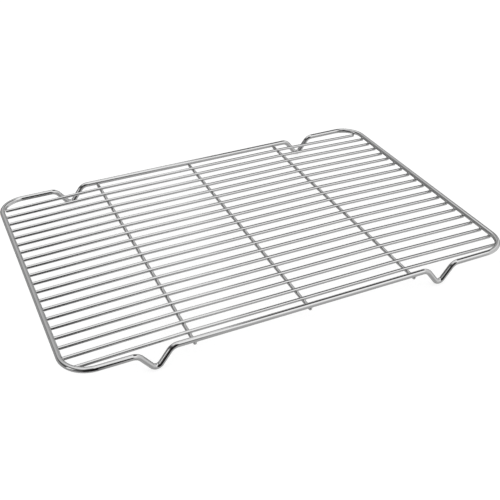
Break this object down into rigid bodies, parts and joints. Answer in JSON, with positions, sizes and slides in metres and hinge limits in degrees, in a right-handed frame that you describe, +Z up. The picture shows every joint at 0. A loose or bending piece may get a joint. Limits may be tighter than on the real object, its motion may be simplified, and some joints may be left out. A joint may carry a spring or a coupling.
{
  "type": "cooling rack",
  "caption": "Rectangular wire cooling rack: a thick round-cornered frame rod bent into V-shaped feet, a grid of thin parallel wires and thin cross wires welded beneath.",
  "frame": {"origin": "on the surface the rack stands on, under the middle of the frame's outline", "axes": "+X along the long sides, to the right seen from the front; +Y along the short sides, to the back; +Z up"},
  "size_m": [0.4, 0.275, 0.0198],
  "materials": {
    "frame_steel": "polished",
    "wire_steel": "polished"
  },
  "bodies": {
    "root": {"frame_rod": "frame_steel", "grid_wire_01": "wire_steel", "grid_wire_02": "wire_steel", "grid_wire_03": "wire_steel", "grid_wire_04": "wire_steel", "grid_wire_05": "wire_steel", "grid_wire_06": "wire_steel", "grid_wire_07": "wire_steel", "grid_wire_08": "wire_steel", "grid_wire_09": "wire_steel", "grid_wire_10": "wire_steel", "grid_wire_11": "wire_steel", "grid_wire_12": "wire_steel", "grid_wire_13": "wire_steel", "grid_wire_14": "wire_steel", "grid_wire_15": "wire_steel", "grid_wire_16": "wire_steel", "grid_wire_17": "wire_steel", "grid_wire_18": "wire_steel", "grid_wire_19": "wire_steel", "grid_wire_20": "wire_steel", "cross_wire_left": "wire_steel", "cross_wire_middle": "wire_steel", "cross_wire_right": "wire_steel"}
  },
  "joints": []
}
